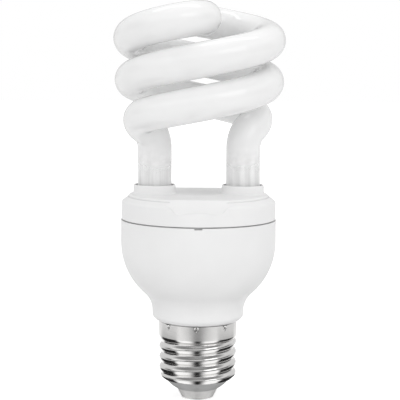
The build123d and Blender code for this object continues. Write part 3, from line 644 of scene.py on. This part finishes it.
def sweep_tube(name, points, radius, finish, end_round=0.0):
    """a tube of a radius in mm along points in mm, its ends rounded by end_round"""
    data = bpy.data.curves.new(name, "CURVE")
    data.dimensions = "3D"
    line = data.splines.new("POLY")
    line.points.add(len(points) - 1)
    for spot, p in zip(line.points, points):
        spot.co = (*(p * MM), 1.0)
        inset = max(0.0, end_round - min((p - points[0]).length, (p - points[-1]).length))
        spot.radius = 1.0 - (end_round - sqrt(end_round**2 - inset**2)) / radius
    thing = bpy.data.objects.new(name, data)
    bpy.context.scene.collection.objects.link(thing)
    sweep = thing.modifiers.new("sweep", "NODES")
    sweep.node_group = SWEEP
    sweep[tree_input(SWEEP, "Tube Radius")] = radius * MM
    sweep[tree_input(SWEEP, "Sides")] = TUBE_SIDES
    sweep[tree_input(SWEEP, "Finish")] = finish
    made = plain_mesh(thing, name)
    print(name, "faces:", len(made.data.polygons))
    return made


# %% [markdown]
# ## Three layers of glass
# The milk glass runs the whole line. The clear glass of each leg lies a hair's breadth
# inside it and ends where the milk glass is dense, so no edge of it shows. It has an inner
# wall, so light bends in it as in a real tube. The powder film lies just inside the glass,
# because an air gap between the two would show as a white line at the tube's sides.

# %% Make the layers
GLASS_WALL = 0.9
CLEAR_TOP = 96.0
SKIN_GAP = 0.02
BORE_ROUND = 1.0
# the bore and the film end this many points before the ends of the clear glass
BORE_INSET = 2
FILM_INSET = 3
FILM_DEPTH = 0.03
bore_r = TUBE_R - GLASS_WALL
left_leg = [p for p in strand if p.z <= CLEAR_TOP]
leg_lines = {"left": left_leg, "right": [half_turn @ p for p in left_leg]}


def glass_leg(label):
    """clear glass leg with an inner wall: two nested tubes, the inner one turned inside out"""
    points = leg_lines[label]
    outer = sweep_tube("leg_skin", points, TUBE_R - SKIN_GAP, CLEAR_GLASS, FOOT_ROUND)
    bore_points = points[BORE_INSET:-BORE_INSET]
    inner = sweep_tube("leg_bore", bore_points, bore_r, CLEAR_GLASS, BORE_ROUND)
    inner.data.flip_normals()
    joined = bmesh.new()
    joined.from_mesh(outer.data)
    joined.from_mesh(inner.data)
    joined.to_mesh(outer.data)
    joined.free()
    bpy.data.objects.remove(inner)
    outer.name = f"clear_leg_{label}"
    return outer


def leg_film(label):
    """powder film of one leg"""
    points = leg_lines[label][FILM_INSET:-FILM_INSET]
    return sweep_tube(f"powder_film_{label}", points, bore_r + FILM_DEPTH, POWDER_FILM)


coated_spiral = sweep_tube("coated_spiral", spiral_line, TUBE_R, MILK_GLASS, FOOT_ROUND)
glass_legs = [glass_leg(label) for label in leg_lines]
films = [leg_film(label) for label in leg_lines]
for piece in [coated_spiral, *glass_legs, *films]:
    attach(piece, "root")
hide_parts("discharge_tube")

# %% [markdown]
# ## The rolled screw shell
# The cap's thread is rolled into sheet metal, so the same wave runs round the wall on a
# screw line, and both its sides show the wave. A flat grid is wrapped into a cylinder and
# each point's distance from the axis follows from its height and its angle. The wall gets
# its thickness afterwards.

# %% Sizes of the screw shell, in millimetres and degrees
PITCH = 25.4 / 7
CREST_R = 13.05
ROOT_R = 12.05
# a power below 1 makes the crests fuller and the valleys narrower
CREST_POWER = 0.82
LIP_Z = 7.1
LIP_R = 11.85
LIP_BLEND = 0.3
FIRST_CREST = 1.55
SKIRT_Z = 21.95
SKIRT_R = 13.15
SKIRT_FALL = 1.6
SKIRT_BLEND = 0.25
SKIRT_OVERLAP = 0.15
SHELL_WALL = 0.3
GRID_COLUMNS = 320
GRID_ROWS = 130
GRID_WELD = 0.001
print("crests of the thread:", round((SKIRT_Z - LIP_Z) / PITCH, 1))

# %% Sizes of the punch marks
PUNCH_COUNT = 8
PUNCH_TURN = -92.0
PUNCH_DEPTH = 0.65
PUNCH_WIDE = 0.75
PUNCH_HIGH = 1.7
PUNCH_TOP = 0.45
# each mark narrows downwards by this share of its width, to no less than the second share
PUNCH_TAPER = 0.75
PUNCH_NARROWEST = 0.15
# how the dent's height is scaled and where it starts; a smaller power gives steeper walls
PUNCH_SCALE = 1.6
PUNCH_START = -0.55
PUNCH_POWER = 0.8
print("punch marks:", PUNCH_COUNT, "each", PUNCH_DEPTH, "mm deep")


# %% Tree that wraps a grid into the shell
def thread_radius(m, enter, z, turn):
    """distance of the rolled thread from the axis: a wave that climbs one pitch in a turn"""
    rise = m("DIVIDE", m("SUBTRACT", z, enter["First Crest"]), enter["Pitch"])
    phase = m("ADD", m("SUBTRACT", rise, turn), 0.5)
    near = m("ABSOLUTE", m("SUBTRACT", m("FRACT", phase), 0.5))
    wave = m("MULTIPLY_ADD", m("COSINE", m("MULTIPLY", near, 2 * pi)), 0.5, 0.5)
    depth = m("SUBTRACT", enter["Crest Radius"], enter["Root Radius"])
    return m("MULTIPLY_ADD", m("POWER", wave, CREST_POWER), depth, enter["Root Radius"])


def with_skirt(m, enter, z, thread):
    """plain skirt above the thread, with a soft flank below it"""
    fall = m("SUBTRACT", enter["Skirt Height"], z)
    flank = m("DIVIDE", fall, enter["Skirt Fall"], clamp=True)
    soft = m("SUBTRACT", 3.0, m("MULTIPLY", flank, 2.0))
    flank = m("MULTIPLY", m("MULTIPLY", flank, flank), soft)
    depth = m("SUBTRACT", enter["Skirt Radius"], enter["Root Radius"])
    skirt = m("SUBTRACT", enter["Skirt Radius"], m("MULTIPLY", flank, depth))
    below = m("SMOOTH_MAX", thread, skirt, SKIRT_BLEND)
    on_skirt = m("GREATER_THAN", z, m("SUBTRACT", enter["Skirt Height"], SKIRT_OVERLAP))
    below = m("MULTIPLY", below, m("SUBTRACT", 1.0, on_skirt))
    return m("ADD", below, m("MULTIPLY", enter["Skirt Radius"], on_skirt))


def punch_dent(m, enter, z, turn):
    """depth of the punch marks near the top edge: wide above, pointed below"""
    count = enter["Punch Count"]
    turned = m("MULTIPLY", m("SUBTRACT", turn, PUNCH_TURN / 360), count)
    off = m("SUBTRACT", m("FRACT", m("ADD", turned, 0.5)), 0.5)
    angle = m("DIVIDE", m("MULTIPLY", off, 2 * pi), count)
    across = m("MULTIPLY", angle, enter["Skirt Radius"])
    top = m("SUBTRACT", enter["Top Height"], PUNCH_TOP)
    down = m("DIVIDE", m("SUBTRACT", top, z), PUNCH_HIGH)
    narrow = m("MAXIMUM", m("MULTIPLY_ADD", down, -PUNCH_TAPER, 1.0), PUNCH_NARROWEST)
    x = m("DIVIDE", across, m("MULTIPLY", narrow, PUNCH_WIDE))
    y = m("MULTIPLY_ADD", down, PUNCH_SCALE, PUNCH_START)
    from_middle = m("ADD", m("MULTIPLY", x, x), m("MULTIPLY", y, y))
    spread = m("SUBTRACT", 1.0, from_middle, clamp=True)
    return m("MULTIPLY", m("POWER", spread, PUNCH_POWER), enter["Punch Depth"])


def shell_tree():
    """Geometry Nodes: a unit grid becomes a rolled screw shell"""
    inputs = {
        "Pitch": ["Float", PITCH],
        "Crest Radius": ["Float", CREST_R],
        "Root Radius": ["Float", ROOT_R],
        "First Crest": ["Float", LIP_Z + FIRST_CREST],
        "Lip Height": ["Float", LIP_Z],
        "Lip Radius": ["Float", LIP_R],
        "Top Height": ["Float", SHELL_TOP],
        "Skirt Height": ["Float", SKIRT_Z],
        "Skirt Radius": ["Float", SKIRT_R],
        "Skirt Fall": ["Float", SKIRT_FALL],
        "Punch Depth": ["Float", PUNCH_DEPTH],
        "Punch Count": ["Int", PUNCH_COUNT],
        "Columns": ["Int", GRID_COLUMNS],
        "Rows": ["Int", GRID_ROWS],
        "Finish": ["Material"],
    }
    tree, enter, leave = new_mesh_tree("rolled_shell", inputs, "Shell")

    def m(operation, a, b=None, c=None, clamp=False):
        return calc(tree, operation, a, b, c, clamp)

    grid = add_node(
        tree,
        "GeometryNodeMeshGrid",
        {"Size X": 1.0, "Size Y": 1.0, "Vertices X": enter["Columns"], "Vertices Y": enter["Rows"]},
    )
    place = parts_of(tree, add_node(tree, "GeometryNodeInputPosition").outputs[0])
    turn = m("ADD", place[0], 0.5)
    angle = m("MULTIPLY", turn, 2 * pi)
    tall = m("SUBTRACT", enter["Top Height"], enter["Lip Height"])
    z = m("MULTIPLY_ADD", m("ADD", place[1], 0.5), tall, enter["Lip Height"])

    radius = with_skirt(m, enter, z, thread_radius(m, enter, z, turn))
    # the lip is turned in below the first crest
    lip = m("ADD", enter["Lip Radius"], m("SUBTRACT", z, enter["Lip Height"]))
    radius = m("SMOOTH_MIN", radius, lip, LIP_BLEND)
    radius = m("SUBTRACT", radius, punch_dent(m, enter, z, turn))

    xyz = {
        0: m("MULTIPLY", m("MULTIPLY", radius, m("COSINE", angle)), MM),
        1: m("MULTIPLY", m("MULTIPLY", radius, m("SINE", angle)), MM),
        2: m("MULTIPLY", z, MM),
    }
    wrapped = add_node(
        tree,
        "GeometryNodeSetPosition",
        {
            "Geometry": grid.outputs["Mesh"],
            "Position": add_node(tree, "ShaderNodeCombineXYZ", xyz).outputs[0],
        },
    )
    closed = add_node(
        tree,
        "GeometryNodeMergeByDistance",
        {"Geometry": wrapped.outputs["Geometry"], "Distance": GRID_WELD * MM},
    )
    end_tree(tree, closed.outputs["Geometry"], enter["Finish"], leave)
    return tree


SHELL_TREE = shell_tree()
print("nodes of the shell's tree:", len(SHELL_TREE.nodes))


# %% Make the screw shell
def outward(thing):
    """turn all faces of a closed mesh outwards"""
    work = bmesh.new()
    work.from_mesh(thing.data)
    bmesh.ops.recalc_face_normals(work, faces=work.faces)
    work.to_mesh(thing.data)
    work.free()


shell_base = bpy.data.objects.new("rolled_shell", bpy.data.meshes.new("rolled_shell"))
bpy.context.scene.collection.objects.link(shell_base)
roll = shell_base.modifiers.new("roll", "NODES")
roll.node_group = SHELL_TREE
roll[tree_input(SHELL_TREE, "Finish")] = NICKEL_PLATE
rolled_shell = plain_mesh(shell_base, "rolled_shell")
outward(rolled_shell)
wall = rolled_shell.modifiers.new("wall", "SOLIDIFY")
wall.thickness = SHELL_WALL * MM
wall.offset = -1.0
rolled_shell = plain_mesh(rolled_shell, "rolled_shell")
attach(rolled_shell, "root")
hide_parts("screw_shell")
print("screw shell faces:", len(rolled_shell.data.polygons))

# %% [markdown]
# ## Smooth copies of the moulded pieces
# The cover, the housing and the small turned pieces already have their true shape in CAD,
# but as loose triangles. A copy of each is welded together and shaded smooth, with its
# sharp edges kept, so that light runs over it as over a real moulding. The housing's
# flange also gets the fuller, rounder foot that the real one has.

# %% Smooth copies
SHARP = radians(20)
WELD = 0.0005
# the flange's radius and the rounding of its foot in the solid
FLANGE_R = 15.7
FLANGE_ROUND = 1.1
# the fuller foot: how far its arc turns, and its size across and up
FOOT_TURN = radians(60)
FOOT_SIZE = 2.3
# slack when the foot's points are picked
SLACK = 0.01


def round_flange(work):
    """widen the flange's rounded foot until it meets the metal skirt"""
    for vert in work.verts:
        r = sqrt(vert.co.x**2 + vert.co.y**2) / MM
        rise = vert.co.z / MM - SHELL_TOP
        out = r - (FLANGE_R - FLANGE_ROUND)
        if out > -SLACK and -SLACK < rise < FLANGE_ROUND + SLACK:
            turn = atan2(FLANGE_ROUND - rise, max(out, 0.0)) / (pi / 2) * FOOT_TURN
            new_r = FLANGE_R - FOOT_SIZE * (1 - cos(turn)) / (1 - cos(FOOT_TURN))
            new_rise = FOOT_SIZE * (1 - sin(turn) / sin(FOOT_TURN))
            vert.co.x *= new_r / r
            vert.co.y *= new_r / r
            vert.co.z = (SHELL_TOP + new_rise) * MM


def smooth_copy(node, name, finish, reshape=None):
    """weld and smooth a copy of a CAD node, and let it stand for the node"""
    made = bpy.data.objects.new(name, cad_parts[node].data.copy())
    bpy.context.scene.collection.objects.link(made)
    work = bmesh.new()
    work.from_mesh(made.data)
    bmesh.ops.remove_doubles(work, verts=work.verts, dist=WELD * MM)
    if reshape:
        reshape(work)
    work.to_mesh(made.data)
    work.free()
    made.data.materials.clear()
    made.data.materials.append(finish)
    if "custom_normal" in made.data.attributes:
        made.data.attributes.remove(made.data.attributes["custom_normal"])
    made.data.shade_smooth()
    made.data.set_sharp_from_angle(angle=SHARP)
    even = made.modifiers.new("even", "WEIGHTED_NORMAL")
    even.keep_sharp = True
    made = plain_mesh(made, name)
    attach(made, "root")
    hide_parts(node)
    print(name, "faces:", len(made.data.polygons))


smooth_copy("ballast_housing", "housing_moulding", MOULDED_WHITE, round_flange)
smooth_copy("tube_holder", "cover_moulding", MOULDED_WHITE)
smooth_copy("cap_insulator", "insulator_ring", INSULATOR)
smooth_copy("centre_contact", "contact_button", CONTACT_METAL)
smooth_copy("contact_solder", "contact_solder_blob", SOLDER)

# %% [markdown]
# ## Finishes of the parts inside
# Nothing of the ballast shows while the housing is closed, but each piece has its own
# finish, so the lamp can be opened up later.

# %% Inner finishes
PUTTY = grey(0.78, 0.05), grey(0.86, 0.05)
LAMINATE = (0.30, 0.17, 0.07, 1), (0.38, 0.22, 0.10, 1)
SLEEVE = grey(0.03), grey(0.05)
FERRITE = grey(0.035), grey(0.06)
BOBBIN = grey(0.02), grey(0.035)
COPPER = (0.42, 0.14, 0.05, 1), (0.55, 0.21, 0.08, 1)
PALE_WIRE = grey(0.45, 0.1), grey(0.55, 0.1)
RESIN = grey(0.018), grey(0.03)
RED_DIP = (0.30, 0.05, 0.02, 1), (0.38, 0.07, 0.03, 1)
LACQUER = (0.40, 0.28, 0.15, 1), (0.48, 0.34, 0.19, 1)
INNER = {
    "leg_cement": dull_solid("leg_putty", *PUTTY, roughness=0.85, grain_mm=0.6, strength=0.4),
    "circuit_board": dull_solid("brown_laminate", *LAMINATE, roughness=0.5),
    "wrap_pins": dull_metal("tinned_pins", 0.55, 0.65, roughness=0.3),
    "filament_leads": dull_metal("tinned_wire", 0.6, 0.7, roughness=0.28),
    "bulk_capacitor": dull_solid("dark_sleeve", *SLEEVE, roughness=0.3),
    "choke_core_upper": dull_solid("ferrite_grey", *FERRITE, 0.6, grain_mm=0.3, strength=0.3),
    "choke_bobbin": dull_solid("black_moulding", *BOBBIN, roughness=0.45),
    "choke_winding": dull_solid("copper_wire", *COPPER, 0.3, grain_mm=0.3, strength=0.5),
    "ring_windings": dull_solid("pale_wire", *PALE_WIRE, roughness=0.4),
    "power_transistors": dull_solid("black_resin", *RESIN, roughness=0.5),
    "resonant_capacitor": dull_solid("red_dip", *RED_DIP, roughness=0.25),
    "resistors": dull_solid("tan_lacquer", *LACQUER, roughness=0.3),
}
LIKE = {
    "choke_core_lower": "choke_core_upper",
    "ring_core": "choke_core_upper",
    "rectifier_diodes": "power_transistors",
    "trigger_diode": "power_transistors",
    "blocking_capacitor": "resonant_capacitor",
    "fusible_resistor": "resistors",
    "input_choke": "choke_winding",
    "shell_wire": "ring_windings",
    "contact_wire": "ring_windings",
}
for node in [*INNER, *LIKE]:
    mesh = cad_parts[node].data
    mesh.materials.clear()
    mesh.materials.append(INNER[LIKE.get(node, node)])
print("inner pieces with a finish:", len(INNER) + len(LIKE))

# %% [markdown]
# ## The floor
# The lamp stands on a plain white floor. The eye sees it white, with a soft shadow at the
# foot. The bright nickel mirrors much of it, so metal sees it with the darker gaps between
# the white panels of a studio: one straight ahead and one on each side. They draw the dark
# bands on the thread.

# %% Floor sizes and tones
FLOOR_SIZE = 6.0
FLOOR_DROP = 0.2 * MM
FLOOR_GREY = 0.85
# the eye sees the floor this much brighter than the light on it makes it
EYE_LIFT = 0.55
MIRROR_STRENGTH = 1.25
# edges of the gaps in degrees from straight ahead: the gap ahead close to the foot and
# further out, the start of the side gaps, and their end at the back
CLOSE_GAP = (2.0, 26.0)
WIDE_GAP = (3.0, 57.0)
SIDE_GAP = (52.0, 66.0)
BACK_EDGE = (118.0, 140.0)
# distances in metres between which near tones turn into far ones, and between which the
# open floor gets darker: away from the foot, and towards the front
NEAR_TO_FAR = (0.07, 0.13)
DIM_REACH = (0.2, 0.6)
DIM_FRONT = (-0.2, 0.2)
GAP_NEAR = 0.02
MIDDLE_FAR = 0.34
SIDE_FAR = 0.66
OPEN_NEAR = 0.98
OPEN_FAR = 0.74
DIM_GREY = 0.3
print("gaps in degrees:", CLOSE_GAP, WIDE_GAP, SIDE_GAP)


# %% Floor
def mirrored_floor(tree):
    """the floor's tones as metal sees them"""
    place = object_place(tree)
    x, y, _ = parts_of(tree, place)
    side = calc(tree, "ABSOLUTE", x)
    front = calc(tree, "MULTIPLY", y, -1.0)
    # angle from straight ahead, in degrees, the same on both sides
    angle = calc(tree, "MULTIPLY", calc(tree, "ARCTAN2", side, front), 180 / pi)
    reach = add_node(tree, "ShaderNodeVectorMath", {0: place}, operation="LENGTH")
    reach = reach.outputs["Value"]
    far = ramp(tree, reach, *NEAR_TO_FAR)

    # the gap ahead is narrow near the foot and wide further out
    close_gap = ramp(tree, angle, *CLOSE_GAP, 1.0, 0.0)
    wide_gap = ramp(tree, angle, *WIDE_GAP, 1.0, 0.0)
    widening = calc(tree, "SUBTRACT", wide_gap, close_gap)
    middle_gap = calc(tree, "MULTIPLY_ADD", widening, far, close_gap)
    in_front = ramp(tree, angle, *BACK_EDGE, 1.0, 0.0)
    side_gap = calc(tree, "MULTIPLY", ramp(tree, angle, *SIDE_GAP), in_front)
    gap = calc(tree, "MAXIMUM", middle_gap, side_gap)
    middle_tone = blend_colour(tree, far, grey(GAP_NEAR), grey(MIDDLE_FAR))
    side_tone = blend_colour(tree, far, grey(GAP_NEAR), grey(SIDE_FAR))
    tone = blend_colour(tree, middle_gap, side_tone, middle_tone)

    dim = calc(tree, "MULTIPLY", ramp(tree, reach, *DIM_REACH), ramp(tree, front, *DIM_FRONT))
    open_tone = blend_colour(tree, far, grey(OPEN_NEAR), grey(OPEN_FAR))
    open_floor = blend_colour(tree, dim, open_tone, grey(DIM_GREY))
    return blend_colour(tree, gap, open_floor, tone)


def floor_finish():
    """white floor that keeps the shadow, seen by metal with the studio's darker gaps"""
    plain = {"Base_Color": grey(FLOOR_GREY), "Roughness": 0.9}
    material, tree, shader = new_finish("floor_white", **plain)
    glow = {"Color": mirrored_floor(tree), "Strength": MIRROR_STRENGTH}
    mirror = add_node(tree, "ShaderNodeEmission", glow)
    lift = add_node(tree, "ShaderNodeEmission", {"Color": grey(1.0), "Strength": EYE_LIFT})
    both = add_node(tree, "ShaderNodeAddShader", {0: shader.outputs[0], 1: lift.outputs[0]})
    to_eye = light_path(tree, "Is Camera Ray")
    to_metal = light_path(tree, "Is Glossy Ray")
    seen = mix_shaders(tree, to_eye, shader.outputs[0], both.outputs[0])
    final = mix_shaders(tree, to_metal, seen, mirror.outputs[0])
    tree.links.new(final, tree.nodes["Material Output"].inputs["Surface"])
    return material


floor_mesh = bpy.data.meshes.new("floor")
half = FLOOR_SIZE / 2
corners = [(-half, -half, 0), (half, -half, 0), (half, half, 0), (-half, half, 0)]
floor_mesh.from_pydata(corners, [], [(0, 1, 2, 3)])
floor_mesh.materials.append(floor_finish())
floor = bpy.data.objects.new("floor", floor_mesh)
floor.location.z = -FLOOR_DROP
bpy.context.scene.collection.objects.link(floor)
print("floor's side in metres:", FLOOR_SIZE)

# %% [markdown]
# ## The white room
# The room is the world round the stage. It fills the shadows with plain light, which is
# brighter in front than behind and above. The eye and clear glass see it pure white.
# Metal and gloss see it with a dark band near the level and grey bands above it, but only
# in front, so that the far rims of the tube stay light.

# %% World
FILL = 1.08
FILL_ABOVE = 0.84
FILL_BEHIND = 0.58
# parts of the direction between which the fill light changes: upwards, and to the back
UPWARDS = (0.0, 0.9)
BACKWARDS = (-0.8, 0.6)
# and between which the bands give way to the plain grey behind
BANDS_END = (0.1, 0.6)
ROOM_BACK = 0.8
# height of the direction (0 is level, 1 is straight up) and the grey seen there
ROOM_BANDS = (
    (0.0, 0.12),
    (0.30, 0.16),
    (0.42, 0.70),
    (0.62, 0.82),
    (0.72, 0.30),
    (0.86, 0.26),
    (1.0, 0.6),
)


def room_bands(tree, height):
    """grey bands over the height of the direction"""
    bands = add_node(tree, "ShaderNodeValToRGB", {"Fac": height})
    marks = bands.color_ramp.elements
    for mark, (level, tone) in ((marks[0], ROOM_BANDS[0]), (marks[1], ROOM_BANDS[-1])):
        mark.position, mark.color = level, grey(tone)
    for level, tone in ROOM_BANDS[1:-1]:
        marks.new(level).color = grey(tone)
    return bands.outputs["Color"]


def white_room():
    """fill light brighter in front, pure white to the eye, soft bands in front to metal"""
    world = bpy.data.worlds.new("white_room")
    bpy.context.scene.world = world
    world.use_nodes = True
    tree = world.node_tree
    _, back, height = parts_of(tree, add_node(tree, "ShaderNodeTexCoord").outputs["Generated"])
    haze = blend_colour(tree, ramp(tree, height, *UPWARDS), grey(1.0), grey(FILL_ABOVE))
    haze = blend_colour(tree, ramp(tree, back, *BACKWARDS), haze, grey(FILL_BEHIND))
    fill = tree.nodes["Background"]
    tree.links.new(haze, fill.inputs["Color"])
    fill.inputs["Strength"].default_value = FILL
    white = add_node(tree, "ShaderNodeBackground", {"Color": grey(1.0), "Strength": 1.0})
    in_front = ramp(tree, back, *BANDS_END, 1.0, 0.0)
    tone = blend_colour(tree, in_front, grey(ROOM_BACK), room_bands(tree, height))
    mirror = add_node(tree, "ShaderNodeBackground", {"Color": tone, "Strength": 1.0})
    to_metal = light_path(tree, "Is Glossy Ray")
    light = mix_shaders(tree, to_metal, fill.outputs[0], mirror.outputs[0])
    to_eye = either(tree, "Is Camera Ray", "Is Transmission Ray")
    final = mix_shaders(tree, to_eye, light, white.outputs[0])
    tree.links.new(final, tree.nodes["World Output"].inputs["Surface"])
    return world


print("world:", white_room().name)

# %% [markdown]
# ## Soft panels
# A narrow panel hangs above and behind the lamp and lights the tops of the strands. A weak
# one stands on the left and a stronger one in front on the right, so the left side of the
# lamp is a little darker. All three are weak, because the room does most of the work.

# %% Lights
# name, place, height on the lamp's axis that it faces, size (all in metres), and watts
PANELS = (
    ("overhead_panel", (0.0, 0.22, 0.95), 0.08, (1.1, 0.16), 2.0),
    ("left_panel", (-0.90, -0.45, 0.38), 0.09, (0.90, 0.50), 0.60),
    ("front_right_panel", (0.64, -0.70, 0.66), 0.09, (0.72, 0.50), 1.35),
)


def soft_light(name, place, faced_height, size, watts):
    """a rectangular area light that faces a point on the lamp's axis"""
    data = bpy.data.lights.new(name, "AREA")
    data.shape = "RECTANGLE"
    data.size, data.size_y = size
    data.energy = watts
    lamp = bpy.data.objects.new(name, data)
    bpy.context.scene.collection.objects.link(lamp)
    lamp.location = place
    facing = Vector((0, 0, faced_height)) - Vector(place)
    lamp.rotation_euler = facing.to_track_quat("-Z", "Y").to_euler()


for panel in PANELS:
    soft_light(*panel)
print("panels:", len(PANELS))

# %% Colour management
bpy.context.scene.view_settings.view_transform = "Standard"
print("view transform:", bpy.context.scene.view_settings.view_transform)
